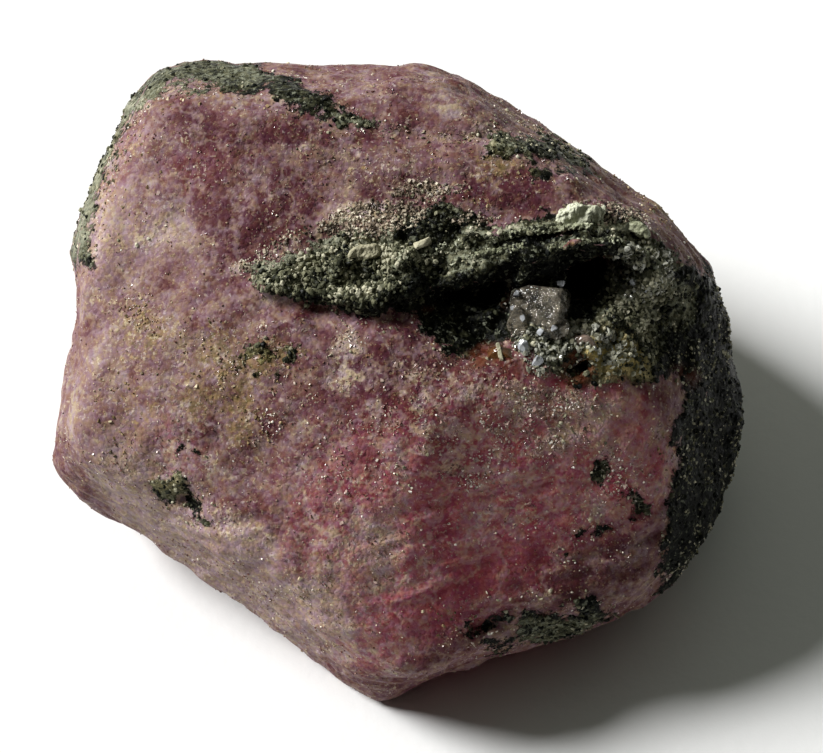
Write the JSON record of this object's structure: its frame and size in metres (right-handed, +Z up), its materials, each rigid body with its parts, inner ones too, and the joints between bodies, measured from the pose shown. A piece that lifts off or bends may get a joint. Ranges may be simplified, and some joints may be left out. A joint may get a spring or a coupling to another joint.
{
  "type": "ruby crystal",
  "caption": "Rough natural ruby crystal: a stubby hexagonal barrel of pink-red corundum with dark amphibole grown into it, leaning on a flat broken face",
  "frame": {"origin": "the middle of the bounding box in plan, at the height of the surface that the crystal rests on", "axes": "+Z up, +X along the widest extent, +Y away from the side whose end face leans forward; the crystal's c axis leans 32 degrees from +Z towards -Y"},
  "size_m": [0.0204, 0.0184, 0.0119],
  "materials": {
    "ruby": "rough, worn, dull with tiny bright grains",
    "amphibole": "granular, black-green, faint glints",
    "feldspar": "chalky pale grains, a few glassy"
  },
  "bodies": {
    "root": {"ruby_crystal": "ruby"}
  },
  "joints": []
}
